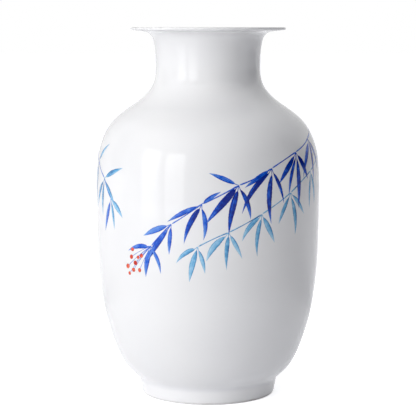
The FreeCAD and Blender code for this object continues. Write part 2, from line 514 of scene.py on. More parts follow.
class Outline:
    """A chain of stations, each two joined by one round arc or line."""

    def __init__(self, stations: Sequence[Station]) -> None:
        """Takes the stations as they are."""
        self.stations = list(stations)

    @classmethod
    def smooth(cls, stations: Sequence[Station]) -> "Outline":
        """A chain whose every span is two tangent arcs, or one line.

        Args:
            stations: The stations that the chain passes.

        Returns:
            The chain, with one more station wherever two arcs meet.
        """
        chain = [stations[0]]
        for start, end in zip(stations, stations[1:]):
            if start.direction != end.direction:
                chain.append(cls._arc_meeting(start, end))
            chain.append(end)
        return cls(chain)

    def moved_aside(self, distance: float) -> "Outline":
        """The parallel outline on the right."""
        return Outline([station.moved_aside(distance) for station in self.stations])

    def reversed(self) -> "Outline":
        """The same outline, walked the other way."""
        back = reversed(self.stations)
        return Outline([Station(s.radius, s.height, s.direction + INWARDS) for s in back])

    def points(self, step: float, turn_step: float) -> list[Vector]:
        """Points along the outline.

        Args:
            step: The longest distance between two, in metres.
            turn_step: The largest turn between two, in degrees.

        Returns:
            The points, first and last station included.
        """
        points = [self.stations[0].point()]
        for start, end in zip(self.stations, self.stations[1:]):
            points += self._span(start, end, step, turn_step)
        return points

    @staticmethod
    def _arc_meeting(start: Station, end: Station) -> Station:
        """Finds where two tangent arcs meet.

        Args:
            start, end: The stations that the first arc leaves and the second reaches.

        Returns:
            The station between them.
        """
        span = end.point() - start.point()
        both = start.along() + end.along()
        spread = 2 * (1 - start.along().dot(end.along()))
        root = math.sqrt(span.dot(both) ** 2 + spread * span.dot(span))
        arm = (root - span.dot(both)) / spread
        first = start.point() + start.along() * arm
        last = end.point() - end.along() * arm
        middle = (first + last) / 2
        return Station(middle.x, middle.z, math.degrees(math.atan2(last.z - first.z, last.x - first.x)))

    @staticmethod
    def _span(start: Station, end: Station, step: float, turn_step: float) -> list[Vector]:
        """Points on one arc or line.

        Args:
            start, end: Its two stations.
            step, turn_step: As for points().

        Returns:
            The points after the start, up to the end.
        """
        chord = end.point() - start.point()
        turn = math.radians(end.direction - start.direction)
        full = math.radians(turn_step)
        count = max(1, math.ceil(chord.length / step), math.ceil(abs(turn) / full))
        shares = [number / count for number in range(1, count + 1)]
        if not turn:
            return [start.point() + chord * share for share in shares]
        right = Vector((chord.z, 0.0, -chord.x))
        points = []
        for share in shares:
            reach = math.sin(turn * share / 2) / math.sin(turn / 2)
            lean = turn * (1 - share) / 2
            way = chord * math.cos(lean) + right * math.sin(lean)
            points.append(start.point() + way * reach)
        return points


@dataclass(frozen=True)
class VaseForm:
    """The finished form of the vase, as its CAD has it.

    Lengths are in metres, walls in mm and directions in degrees. Each station of the outside
    above the foot's crease has a direction, and each but the lowest of these has a wall.
    """

    belly_radius: float = 91.3 * MM
    shoulder_inset: float = 9.1 * MM
    lower_belly_inset: float = 5.1 * MM
    heel_inset: float = 16.5 * MM
    waist_radius: float = 42.4 * MM
    neck_root_flare: float = 5.0 * MM
    neck_top_flare: float = 1.8 * MM
    rim_reach: float = 18.8 * MM
    foot_radius: float = 54.9 * MM
    foot_flare: float = 1.5 * MM
    underside_share: float = 0.37
    collar_share: float = 0.408
    flange_root_share: float = 0.401
    foot_height: float = 10.0 * MM
    underside_rise: float = 8.9 * MM
    heel_rise: float = 18.0 * MM
    lower_belly_rise: float = 39.8 * MM
    belly_rise: float = 86.6 * MM
    shoulder_rise: float = 54.2 * MM
    collar_rise: float = 19.4 * MM
    neck_root_rise: float = 12.7 * MM
    waist_rise: float = 17.6 * MM
    neck_top_rise: float = 21.9 * MM
    flange_root_rise: float = 7.4 * MM
    flange_rise: float = 1.3 * MM
    flange_slope: float = 6.0
    lip_thickness: float = 2.2 * MM
    floor_thickness: float = 7.4 * MM
    foot_ring_width: float = 7.4 * MM
    foot_edge_round: float = 1.2 * MM
    foot_joint_rise: float = 1.3 * MM
    recess_depth: float = 8.0 * MM
    recess_fillet: float = 2.0 * MM
    glaze: float = 0.4 * MM
    glaze_line: float = 2.0 * MM
    directions: tuple[float, ...] = (42.5, 68.0, 80.7, UP, 119.4, 147.1, 126.6, UP, 77.8, 11.4)
    walls: tuple[float, ...] = (5.8, 5.0, 4.8, 4.8, 4.8, 4.5, 3.9, 3.6, 2.9)

    def outside(self) -> Outline:
        """Draws the glazed outside.

        Returns:
            The outline from the glaze line up to the crest of the lip.
        """
        top = self._shape()
        crest = self._lip_radius() - self.lip_thickness / 2
        under_lip = top[-1].height + self.flange_rise
        mouth = under_lip + self.lip_thickness
        foot = math.degrees(math.atan2(self.foot_height - self.glaze_line, self.foot_flare))
        stations = [
            Station(self.foot_radius, self.glaze_line, foot),
            Station(self.foot_radius + self.foot_flare, self.foot_height, foot),
            *top,
            Station(crest, under_lip, self.flange_slope),
            Station(self._lip_radius(), mouth - self.lip_thickness / 2, UP),
            Station(crest, mouth, INWARDS),
        ]
        return Outline.smooth(stations)

    def inside(self) -> Outline:
        """Draws the glazed inside.

        Returns:
            The outline from the middle of the floor to the crest of the lip.
        """
        floor = self.recess_depth + self.floor_thickness
        pairs = zip(self._shape()[1:], self.walls)
        crest = self.outside().stations[-1]
        stations = [
            Station(0.0, floor, OUTWARDS),
            Station(self._boss_radius(), floor, OUTWARDS),
            *(station.moved_aside(-wall * MM) for station, wall in pairs),
            Station(crest.radius, crest.height, OUTWARDS),
        ]
        return Outline.smooth(stations)

    def recess(self) -> Outline:
        """Draws the clay under the foot.

        Returns:
            The outline from the axis out and down to the glaze line.
        """
        radius = self.foot_radius - self.foot_ring_width
        stations = [
            Station(0.0, self.recess_depth, OUTWARDS),
            Station(self._boss_radius(), self.recess_depth, OUTWARDS),
            Station(radius, self.recess_depth - self.recess_fillet, DOWN),
            Station(radius, self.glaze_line, DOWN),
        ]
        return Outline(stations)

    def bare_foot(self, step: float, turn_step: float) -> list[Vector]:
        """Draws the clay of the foot ring.

        Args:
            step, turn_step: As for Outline.points().

        Returns:
            A closed loop of points, anticlockwise.
        """
        boss = self._boss_radius()
        recess = self.recess().stations
        radius = recess[-1].radius
        edge = self.foot_edge_round
        outer = self.outside().moved_aside(-self.glaze).stations
        top = self.recess_depth + self.foot_joint_rise
        rising = Outline(outer[:2]).points(step / 2, turn_step)
        wall_top = next((point.x for point in rising if point.z >= top), rising[-1].x)
        ring = [*recess[1:3], Station(radius, edge, DOWN), Station(radius + edge, 0.0, OUTWARDS)]
        wall = Outline.smooth([Station(outer[0].radius - edge, 0.0, OUTWARDS), outer[0]])
        closing = [
            Station(wall_top, top, INWARDS),
            Station(boss, top, INWARDS),
            Station(boss, self.recess_depth, DOWN),
        ]
        points = []
        for outline in (Outline(ring), wall, Outline(closing)):
            points += outline.points(step, turn_step)
        return [*points, points[0]]

    def _lip_radius(self) -> float:
        """Radius of the lip's outer edge."""
        return self.waist_radius + self.neck_top_flare + self.rim_reach

    def _boss_radius(self) -> float:
        """Radius of the flat middle of the recess and of the inside floor."""
        return self.foot_radius - self.foot_ring_width - self.recess_fillet

    def _shape(self) -> list[Station]:
        """Finds the outside's stations.

        Returns:
            Those above the foot's crease, up to the flange's root.
        """
        heel = self.belly_radius - self.heel_inset
        foot_top = self.foot_radius + self.foot_flare
        shoulder = self.belly_radius - self.shoulder_inset
        neck_root = self.waist_radius + self.neck_root_flare
        neck_top = self.waist_radius + self.neck_top_flare
        crest = self._lip_radius() - self.lip_thickness / 2
        steps = [
            (foot_top + (heel - foot_top) * self.underside_share, self.underside_rise),
            (heel, self.heel_rise),
            (self.belly_radius - self.lower_belly_inset, self.lower_belly_rise),
            (self.belly_radius, self.belly_rise),
            (shoulder, self.shoulder_rise),
            (neck_root + (shoulder - neck_root) * self.collar_share, self.collar_rise),
            (neck_root, self.neck_root_rise),
            (self.waist_radius, self.waist_rise),
            (neck_top, self.neck_top_rise),
            (neck_top + (crest - neck_top) * self.flange_root_share, self.flange_root_rise),
        ]
        stations = []
        height = self.foot_height
        for (radius, rise), direction in zip(steps, self.directions):
            height += rise
            stations.append(Station(radius, height, direction))
        return stations


class GeometryBench(NodeBench):
    """A Geometry Nodes tree with named inputs, ending in one material."""

    def __init__(self, name: str, sockets: Mapping[str, str]) -> None:
        """Makes the tree and its inputs.

        Args:
            name: The tree's name.
            sockets: The type of each named input, after the geometry.
        """
        super().__init__(bpy.data.node_groups.new(name, "GeometryNodeTree"))
        face = self.tree.interface
        for socket, kind in {"Geometry": "Geometry", **sockets, "Material": "Material"}.items():
            face.new_socket(socket, in_out="INPUT", socket_type="NodeSocket" + kind)
        face.new_socket("Geometry", in_out="OUTPUT", socket_type="NodeSocketGeometry")
        self.given = self.add("NodeGroupInput")

    def store(self, geometry: Wire, name: str, kind: str, domain: str, value: Wire) -> Wire:
        """Keeps a value on the geometry.

        Args:
            geometry: What carries it.
            name: The name that it is kept under.
            kind, domain: The attribute's data type and domain.
            value: What is kept.

        Returns:
            The geometry with the value on it.
        """
        inputs = {"Geometry": geometry, "Name": name, "Value": value}
        settings = {"data_type": kind, "domain": domain}
        return self.add("GeometryNodeStoreNamedAttribute", inputs, **settings)["Geometry"]

    def read(self, name: str, kind: str = "FLOAT") -> Wire:
        """A value that was kept under a name."""
        return self.add("GeometryNodeInputNamedAttribute", {"Name": name}, data_type=kind)["Attribute"]

    def moved(self, geometry: Wire, places: Wire) -> Wire:
        """The geometry with its points at other places."""
        return self.add("GeometryNodeSetPosition", {"Geometry": geometry, "Position": places})["Geometry"]

    def smooth_faces(self, geometry: Wire, sharp_angle: Wire | float) -> Wire:
        """Shades faces smooth, but not across sharp corners.

        Args:
            geometry: The mesh.
            sharp_angle: The least angle of a sharp corner, in radians.

        Returns:
            The same mesh, marked.
        """
        kind = "GeometryNodeSetShadeSmooth"
        smooth = self.add(kind, {"Geometry": geometry}, domain="FACE")["Geometry"]
        bend = self.add("GeometryNodeInputMeshEdgeAngle")["Unsigned Angle"]
        corner = self.maths("GREATER_THAN", bend, sharp_angle)
        inputs = {"Geometry": smooth, "Selection": corner, "Shade Smooth": False}
        return self.add(kind, inputs, domain="EDGE")["Geometry"]

    def close(self, geometry: Wire) -> None:
        """Ends the tree: instances made real, and the material set.

        Args:
            geometry: What the tree has made.
        """
        real = self.add("GeometryNodeRealizeInstances", {"Geometry": geometry})["Geometry"]
        inputs = {"Geometry": real, "Material": self.given["Material"]}
        dressed = self.add("GeometryNodeSetMaterial", inputs)["Geometry"]
        self.add("NodeGroupOutput", {"Geometry": dressed})

    def run(self, name: str, start: bpy.types.Mesh, values: Mapping[str, object]) -> bpy.types.Object:
        """Runs the tree on a mesh.

        Args:
            name: The new object's name.
            start: The mesh that the tree is given.
            values: A value for each named input.

        Returns:
            An object with a plain mesh.
        """
        maker = linked(name + "_maker", start)
        modifier = maker.modifiers.new(self.tree.name, "NODES")
        modifier.node_group = self.tree
        for item in self.tree.interface.items_tree:
            if item.in_out == "INPUT" and item.name in values:
                modifier[item.identifier] = values[item.name]
        depsgraph = bpy.context.evaluated_depsgraph_get()
        mesh = bpy.data.meshes.new_from_object(
            maker.evaluated_get(depsgraph), preserve_all_data_layers=True, depsgraph=depsgraph
        )
        bpy.data.objects.remove(maker)
        mesh.name = name
        return linked(name, mesh)


class TurningTree(GeometryBench):
    """Turns an outline about the vase's axis, as a potter's wheel does."""

    segments: int = 256
    wobble_scale: float = 11.0
    sharp_angle: float = math.radians(40.0)
    merge_distance: float = 0.001 * MM

    def __init__(self) -> None:
        """Builds the tree."""
        sockets = {"Segments": "Int", "Wobble": "Float", "Wobble Scale": "Float", "Sharp Angle": "Float"}
        super().__init__("turning", sockets)
        outline, segments = self.given["Geometry"], self.given["Segments"]
        size = self.add("GeometryNodeAttributeDomainSize", {"Geometry": outline}, component="MESH")
        columns = segments + 1.0
        grid = self.add("GeometryNodeMeshGrid", {"Vertices X": size["Point Count"], "Vertices Y": columns})
        index = self.add("GeometryNodeInputIndex")["Index"]
        row = self.maths("FLOOR", (index + MIDDLE) / columns)
        column = index - row * columns
        place = self.add("GeometryNodeInputPosition")["Position"]
        inputs = {"Geometry": outline, "Value": place, "Index": row}
        settings = {"data_type": "FLOAT_VECTOR", "domain": "POINT"}
        sample = self.add("GeometryNodeSampleIndex", inputs, **settings)["Value"]
        inputs = {"Vector": sample, "Angle": column / segments * math.tau + math.pi / 2}
        turned = self.add("ShaderNodeVectorRotate", inputs, rotation_type="Z_AXIS")["Vector"]
        noise = self.noise(turned, self.given["Wobble Scale"], 1.0)
        outward = self.vector_maths("NORMALIZE", self.vector_maths("MULTIPLY", turned, (1.0, 1.0, 0.0)))
        push = self.scaled(outward, (noise - MIDDLE) * self.given["Wobble"])
        shaped = self.moved(grid["Mesh"], self.vector_maths("ADD", turned, push))
        mapped = self.store(shaped, UV_NAME, "FLOAT2", "CORNER", grid["UV Map"])
        inputs = {"Geometry": mapped, "Distance": self.merge_distance}
        joined = self.add("GeometryNodeMergeByDistance", inputs)["Geometry"]
        faced = self.add("GeometryNodeFlipFaces", {"Mesh": joined})["Mesh"]
        self.close(self.smooth_faces(faced, self.given["Sharp Angle"]))

    def turned(
        self, name: str, points: Sequence[Vector], finish: bpy.types.Material, wobble: float = 0.0
    ) -> bpy.types.Object:
        """Turns an outline.

        Args:
            name: The new object's name.
            points: The outline, in order.
            finish: The object's material.
            wobble: How far the surface may wobble, in metres.

        Returns:
            The turned object.
        """
        mesh = bpy.data.meshes.new(name + "_outline")
        mesh.from_pydata([tuple(point) for point in points], [], [])
        values = {
            "Segments": self.segments,
            "Wobble": wobble,
            "Wobble Scale": self.wobble_scale,
            "Sharp Angle": self.sharp_angle,
            "Material": finish,
        }
        return self.run(name, mesh, values)


class BrushTree(GeometryBench):
    """Lays brush strokes on a surface, from their centre lines on the unrolled belly."""

    sharp_angle: float = math.radians(90.0)

    def __init__(self) -> None:
        """Builds the tree."""
        lengths = dict.fromkeys(("Belly Radius", "Thickness", "Lift"), "Float")
        super().__init__("brushwork", {"Surface": "Object", **lengths, "Sides": "Int"})
        place = self.add("GeometryNodeInputPosition")["Position"]
        lines = self.store(self.given["Geometry"], "centre", "FLOAT_VECTOR", "POINT", place)
        paths = self.add("GeometryNodeMeshToCurve", {"Mesh": lines})["Curve"]
        inputs = {"Resolution": self.given["Sides"], "Radius": 1.0}
        ring = self.add("GeometryNodeCurvePrimitiveCircle", inputs, mode="RADIUS")["Curve"]
        ring_across, ring_rise, _ = self.split(place)
        ring = self.store(ring, "across", "FLOAT", "POINT", ring_across)
        ring = self.store(ring, "rise", "FLOAT", "POINT", ring_rise)
        inputs = {"Curve": paths, "Profile Curve": ring, "Fill Caps": True}
        strokes = self.add("GeometryNodeCurveToMesh", inputs)["Mesh"]
        across = self.read("across")
        reach = self.scaled(self.read("reach", "FLOAT_VECTOR"), across)
        flat = self.vector_maths("ADD", self.read("centre", "FLOAT_VECTOR"), reach)
        round_the_belly, _, level = self.split(flat)
        angle = round_the_belly / self.given["Belly Radius"]
        sine, cosine = self.maths("SINE", angle), self.maths("COSINE", angle)
        far = self.given["Belly Radius"] * 2.0
        outward = self.scaled(self.vector(sine, 0.0 - cosine, 0.0), far)
        surface = self.add("GeometryNodeObjectInfo", {"Object": self.given["Surface"]})
        inputs = {
            "Target Geometry": surface["Geometry"],
            "Source Position": self.vector_maths("ADD", outward, self.vector(0.0, 0.0, level)),
            "Ray Direction": self.vector(0.0 - sine, cosine, 0.0),
            "Ray Length": far,
        }
        hit = self.add("GeometryNodeRaycast", inputs)
        rise = self.read("rise") * self.given["Thickness"]
        lift = self.scaled(hit["Hit Normal"], rise + self.given["Lift"] + self.read("layer"))
        laid = self.moved(strokes, self.vector_maths("ADD", hit["Hit Position"], lift))
        uv = self.vector(self.read("along"), across * 0.5 + 0.5, 0.0)
        mapped = self.store(laid, UV_NAME, "FLOAT2", "CORNER", uv)
        brush = self.vector(self.read("run"), across * self.read("half_width"), self.read("seed"))
        marked = self.store(mapped, "brush", "FLOAT_VECTOR", "POINT", brush)
        self.close(self.smooth_faces(marked, self.sharp_angle))


@dataclass
class GlazeCoats:
    """The three coats of glaze, each a closed shell turned from its outline.

    Lengths are in metres.
    """

    form: VaseForm
    finish: WhiteGlaze = field(default_factory=WhiteGlaze)
    step: float = 2.0 * MM
    turn_step: float = 4.0
    hidden_step: float = 9.0 * MM
    hidden_turn_step: float = 20.0
    wobble: float = 0.22 * MM

    def build(self, tree: TurningTree) -> dict[str, bpy.types.Object]:
        """Makes and dresses the coats.

        Args:
            tree: The tree that turns outlines.

        Returns:
            Each coat by the name of the CAD node that it stands for.
        """
        material = self.finish.material()
        coats = {
            "outer_glaze": self.form.outside(),
            "inner_glaze": self.form.inside().reversed(),
            "foot_recess_glaze": self.form.recess().moved_aside(self.form.glaze),
        }
        made = {}
        for node, outline in coats.items():
            piece = tree.turned(node + "_coat", self._shell(outline), material, self.wobble)
            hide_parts(node)
            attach(piece, BODY)
            log.info("%s: %d faces", piece.name, len(piece.data.polygons))
            made[node] = piece
        return made

    def _shell(self, surface: Outline) -> list[Vector]:
        """Closes a glazed surface into a shell.

        Args:
            surface: The surface's outline, with the clay on its left.

        Returns:
            A loop of points along the surface and back along the clay.
        """
        front = surface.points(self.step, self.turn_step)
        under = surface.moved_aside(-self.form.glaze).reversed()
        loop = front + under.points(self.hidden_step, self.hidden_turn_step)
        if loop[0].x > 0:
            loop.append(loop[0])
        return loop


@dataclass
class FootRing:
    """The thrown ring that the vase stands on, bare where it meets the table.

    Lengths are in metres.
    """

    form: VaseForm
    finish: BareClay = field(default_factory=BareClay)
    step: float = 1.0 * MM
    turn_step: float = 6.0

    def build(self, tree: TurningTree) -> None:
        """Makes and dresses the ring.

        Args:
            tree: The tree that turns outlines.
        """
        points = self.form.bare_foot(self.step, self.turn_step)
        piece = tree.turned("foot_ring_clay", points, self.finish.material())
        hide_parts("foot_ring")
        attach(piece, BODY)
        log.info("%s: %d faces", piece.name, len(piece.data.polygons))


@dataclass(frozen=True)
class CoveredClay:
    """The thrown sections and slip joints under the glaze, as the CAD has them."""

    biscuit: BareClay = BareClay("porcelain_biscuit")
    slip: BareClay = BareClay("luting_slip", (0.74, 0.71, 0.66), (0.62, 0.54, 0.44), 180.0)
    sections: tuple[str, ...] = ("lower_belly_section", "shoulder_section", "neck_and_mouth_section")
    joints: tuple[str, ...] = ("foot_slip_joint", "belly_slip_joint", "neck_slip_joint")

    def dress(self, nodes: Mapping[str, bpy.types.Object]) -> None:
        """Gives each node the finish of its clay.

        Args:
            nodes: The CAD's nodes, by name.
        """
        for clay, names in ((self.biscuit, self.sections), (self.slip, self.joints)):
            material = clay.material()
            for name in names:
                nodes[name].data.materials.clear()
                nodes[name].data.materials.append(material)
                log.info("%s: %s", name, material.name)


class Brush(Enum):
    """How the brush is handled: the ways that a touch of it swells and tapers."""

    LEAF = "pressed early and lifted to a point"
    TWIG = "drawn evenly with its tip"
    DAB = "set down once"


@dataclass(frozen=True)
class Touch:
    """One touch of the brush on the unrolled belly. Lengths are in metres."""

    paint: Paint
    brush: Brush
    start: Vector
    bend: Vector
    end: Vector
    half_width: float
    load: float
    layer: int
    seed: float

    def place(self, share: float) -> Vector:
        """The centre line at a share of the way along."""
        rest = 1.0 - share
        return self.start * rest**2 + self.bend * (2 * share * rest) + self.end * share**2

    def heading(self, share: float) -> Vector:
        """Unit vector along the centre line."""
        rest = 1.0 - share
        return ((self.bend - self.start) * rest + (self.end - self.bend) * share).normalized()

    def swell(self, share: float) -> float:
        """How wide the touch is.

        Args:
            share: A share of the way along.

        Returns:
            The width there, as a share of the widest.
        """
        rest = 1.0 - share
        if self.brush is Brush.LEAF:
            press, lift = 0.45 + 0.4 * self.seed, 1.10
            peak = press / (press + lift)
            return share**press * rest**lift / (peak**press * (1.0 - peak) ** lift)
        if self.brush is Brush.TWIG:
            entry, release, thinning = 0.05, 0.06, 0.35
            ends = min(1.0, share / entry) * min(1.0, rest / release)
            return math.sqrt(ends) * (1.0 - thinning * math.sin(math.pi * share))
        return math.sqrt(max(0.0, 1.0 - (2.0 * share - 1.0) ** 2))

    def loaded(self, share: float) -> float:
        """How much paint the brush still leaves at a share of the way along."""
        fresh, spent = (1.15, 0.6) if self.brush is Brush.LEAF else (1.0, 0.0)
        return self.load * (fresh - spent * share)


@dataclass(frozen=True)
class Leaf:
    """One leaf of a sprig: its paint, where it points, in degrees, and its length in mm."""

    paint: Paint
    points_to: float
    length: float
    load: float = 0.9


def sprig(paint: Paint, *leaves: tuple[float, ...]) -> tuple[Leaf, ...]:
    """Leaves of one paint, each from where it points, its length and its load."""
    return tuple(Leaf(paint, *leaf) for leaf in leaves)


@dataclass(frozen=True)
class Spray:
    """A twig of heavenly bamboo across the belly, with its leaves and berries.

    A knot is a joint of the twig: degrees round the vase from the front, and mm up. Every knot
    but the first carries a sprig.
    """

    seed: int
    knots: tuple[Pair, ...]
    sprigs: tuple[tuple[Leaf, ...], ...]
    twig_paint: Paint = Paint.COBALT
    twig_load: float = 0.55
    berries_at: Pair | None = None
    berry_count: int = 9


@dataclass(frozen=True)
class Hand:
    """How far the painter's hand varies: the span that each change is drawn from.

    A leaf's turn is in degrees and a berry's in radians. The others are factors.
    """

    twig_bend: Pair = (-0.07, 0.07)
    twig_width: Pair = (0.85, 1.1)
    twig_load: Pair = (0.85, 1.15)
    leaf_turn: Pair = (-7.0, 7.0)
    leaf_length: Pair = (0.86, 1.1)
    leaf_stalk: Pair = (0.10, 0.16)
    leaf_curl: Pair = (0.2, 2.0)
    leaf_load: Pair = (0.7, 1.15)
    leaf_width: Pair = (0.75, 1.2)
    berry_turn: Pair = (-0.3, 0.3)
    berry_size: Pair = (0.75, 1.1)
    berry_load: Pair = (0.55, 1.0)


@dataclass
class Brushwork:
    """The painting on the outer glaze: generic sprays in cobalt, azure and vermilion.

    Lengths are in metres, but for a leaf's full length, which is in mm.
    """

    form: VaseForm
    sprays: tuple[Spray, ...]
    hand: Hand = field(default_factory=Hand)
    twig_half_width: float = 0.75 * MM
    knot_gap: float = 0.02
    leaf_half_width: float = 2.5 * MM
    leaf_least_share: float = 0.55
    leaf_grown_share: float = 0.45
    leaf_full_length: float = 34.0
    leaf_curl: float = 0.10
    stem_width_share: float = 0.6
    stem_load_share: float = 0.7
    stem_bend_share: float = 0.6
    stem_overlap_share: float = 0.5
    berry_radius: float = 1.9 * MM
    berry_spacing: float = 1.75
    berry_start: float = 0.4
    berry_turn: float = math.radians(137.5)
    bunch_stretch: float = 1.2
    berry_layers: int = 5
    berry_stalk_rise: float = 1.2 * MM
    berry_stalk_share: float = 0.35
    berry_stalk_load: float = 0.5
    thickness: float = 0.030 * MM
    layer_step: float = 0.006 * MM
    layers_to_a_paint: int = 7
    sides: int = 10
    samples: int = 22
    end_gap: float = 0.002

    def build(self, tree: BrushTree, surface: bpy.types.Object) -> None:
        """Paints every spray, as one piece for each paint.

        Args:
            tree: The tree that lays strokes on a surface.
            surface: The outer glaze.
        """
        touches = [touch for spray in self.sprays for touch in self._touches(spray)]
        for number, finish in enumerate(PAINTS):
            own = [touch for touch in touches if touch.paint is finish.paint]
            name = finish.paint.name.lower() + "_brushwork"
            values = {
                "Surface": surface,
                "Belly Radius": self.form.belly_radius,
                "Thickness": self.thickness,
                "Lift": self.layer_step * (1 + self.layers_to_a_paint * number),
                "Sides": self.sides,
                "Material": finish.material(),
            }
            piece = tree.run(name, self._centre_lines(name, own), values)
            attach(piece, BODY)
            log.info("%s: %d strokes, %d faces", name, len(own), len(piece.data.polygons))

    def _spot(self, knot: Pair) -> Vector:
        """A knot's place on the unrolled belly."""
        degrees, height = knot
        return Vector((math.radians(degrees) * self.form.belly_radius, height * MM))

    def _touches(self, spray: Spray) -> list[Touch]:
        """Plans the strokes of one spray.

        Args:
            spray: The spray.

        Returns:
            Its strokes, in the order that a painter lays them.
        """
        chance = random.Random(spray.seed)
        spots = [self._spot(knot) for knot in spray.knots]
        touches = []
        for start, end in zip(spots, spots[1:]):
            across = Vector((start.y - end.y, end.x - start.x))
            bend = (start + end) / 2 + across * chance.uniform(*self.hand.twig_bend)
            gap = (end - start) * self.knot_gap
            width = self.twig_half_width * chance.uniform(*self.hand.twig_width)
            load = spray.twig_load * chance.uniform(*self.hand.twig_load)
            ends = (start + gap, bend, end - gap)
            touches.append(Touch(spray.twig_paint, Brush.TWIG, *ends, width, load, 0, chance.random()))
        for spot, leaves in zip(spots[1:], spray.sprigs):
            for number, leaf in enumerate(leaves):
                touches += self._leaf(spot, leaf, number + 1, chance)
        if spray.berries_at:
            touches += self._berries(spots[-1], spray, chance)
        return touches

    def _leaf(self, knot: Vector, leaf: Leaf, layer: int, chance: random.Random) -> list[Touch]:
        """Plans a leaf.

        Args:
            knot: The knot that it hangs from.
            leaf: The leaf.
            layer: How many strokes lie under it.
            chance: What the hand's changes are drawn from.

        Returns:
            Its stalk and its blade.
        """
        hand = self.hand
        angle = math.radians(leaf.points_to + chance.uniform(*hand.leaf_turn))
        heading = Vector((math.cos(angle), math.sin(angle)))
        aside = Vector((-heading.y, heading.x))
        length = leaf.length * MM * chance.uniform(*hand.leaf_length)
        stalk = length * chance.uniform(*hand.leaf_stalk)
        curl = length * self.leaf_curl * math.copysign(1.0, heading.x) * chance.uniform(*hand.leaf_curl)
        start = knot + heading * stalk
        end = knot + heading * (stalk + length)
        bend = (start + end) / 2 + aside * curl
        load = leaf.load * chance.uniform(*hand.leaf_load)
        grown = self.leaf_grown_share * leaf.length / self.leaf_full_length
        width = self.leaf_half_width * (self.leaf_least_share + grown) * chance.uniform(*hand.leaf_width)
        blade = Touch(leaf.paint, Brush.LEAF, start, bend, end, width, load, layer, chance.random())
        line = (
            knot,
            knot + heading * stalk * self.stem_bend_share,
            start + heading * stalk * self.stem_overlap_share,
        )
        width = self.twig_half_width * self.stem_width_share
        load *= self.stem_load_share
        stem = Touch(leaf.paint, Brush.TWIG, *line, width, load, 0, chance.random())
        return [stem, blade]

    def _berries(self, tip: Vector, spray: Spray, chance: random.Random) -> list[Touch]:
        """Plans a loose bunch of berries on hair-thin stalks.

        Args:
            tip: The twig's tip, where the stalks start.
            spray: The spray.
            chance: What the hand's changes are drawn from.

        Returns:
            A dab and a stalk for each berry.
        """
        middle = self._spot(spray.berries_at)
        touches = []
        for number in range(spray.berry_count):
            angle = self.berry_turn * number + chance.uniform(*self.hand.berry_turn)
            out = self.berry_radius * self.berry_spacing * math.sqrt(number + self.berry_start)
            spot = middle + Vector((math.cos(angle) * out, math.sin(angle) * out * self.bunch_stretch))
            radius = self.berry_radius * chance.uniform(*self.hand.berry_size)
            half = Vector((math.cos(angle * 2), math.sin(angle * 2))) * radius
            load = chance.uniform(*self.hand.berry_load)
            layer = number % self.berry_layers
            line = (spot - half, spot, spot + half)
            touches.append(Touch(Paint.VERMILION, Brush.DAB, *line, radius, load, layer, chance.random()))
            bend = (tip + spot) / 2 + Vector((0.0, self.berry_stalk_rise))
            width = self.twig_half_width * self.berry_stalk_share
            load = self.berry_stalk_load
            touches.append(
                Touch(Paint.COBALT, Brush.TWIG, tip, bend, spot, width, load, 0, chance.random())
            )
        return touches

    def _centre_lines(self, name: str, touches: Sequence[Touch]) -> bpy.types.Mesh:
        """Draws the strokes' centre lines.

        Args:
            name: The mesh's name.
            touches: The strokes.

        Returns:
            One mesh of edges, with what each point of the brush's way carries.
        """
        places, edges, reaches = [], [], []
        values = {key: [] for key in ("along", "run", "half_width", "seed", "load", "layer")}
        for touch in touches:
            run = 0.0
            previous = touch.place(0.0)
            for number in range(self.samples + 1):
                share = min(max(number / self.samples, self.end_gap), 1.0 - self.end_gap)
                spot = touch.place(share)
                heading = touch.heading(share)
                run += (spot - previous).length
                previous = spot
                if number:
                    edges.append((len(places) - 1, len(places)))
                places.append((spot.x, 0.0, spot.y))
                width = touch.half_width * touch.swell(share)
                reaches += [-heading.y * width, 0.0, heading.x * width]
                layer = touch.layer * self.layer_step
                carried = (share, run, width, touch.seed, touch.loaded(share), layer)
                for numbers, value in zip(values.values(), carried):
                    numbers.append(value)
        mesh = bpy.data.meshes.new(name)
        mesh.from_pydata(places, edges, [])
        mesh.attributes.new("reach", "FLOAT_VECTOR", "POINT").data.foreach_set("vector", reaches)
        for key, numbers in values.items():
            mesh.attributes.new(key, "FLOAT", "POINT").data.foreach_set("value", numbers)
        return mesh


COBALT, AZURE, VERMILION = Paint.COBALT, Paint.AZURE, Paint.VERMILION

PAINTS = (
    BrushPaint(AZURE, linear(176, 214, 236), linear(98, 168, 214), linear(26, 96, 160), dryness=0.25),
    BrushPaint(COBALT, linear(102, 152, 222), linear(0, 82, 204), linear(0, 32, 134)),
    BrushPaint(VERMILION, linear(240, 140, 104), linear(222, 78, 46), linear(186, 38, 20), dryness=0.0),
)

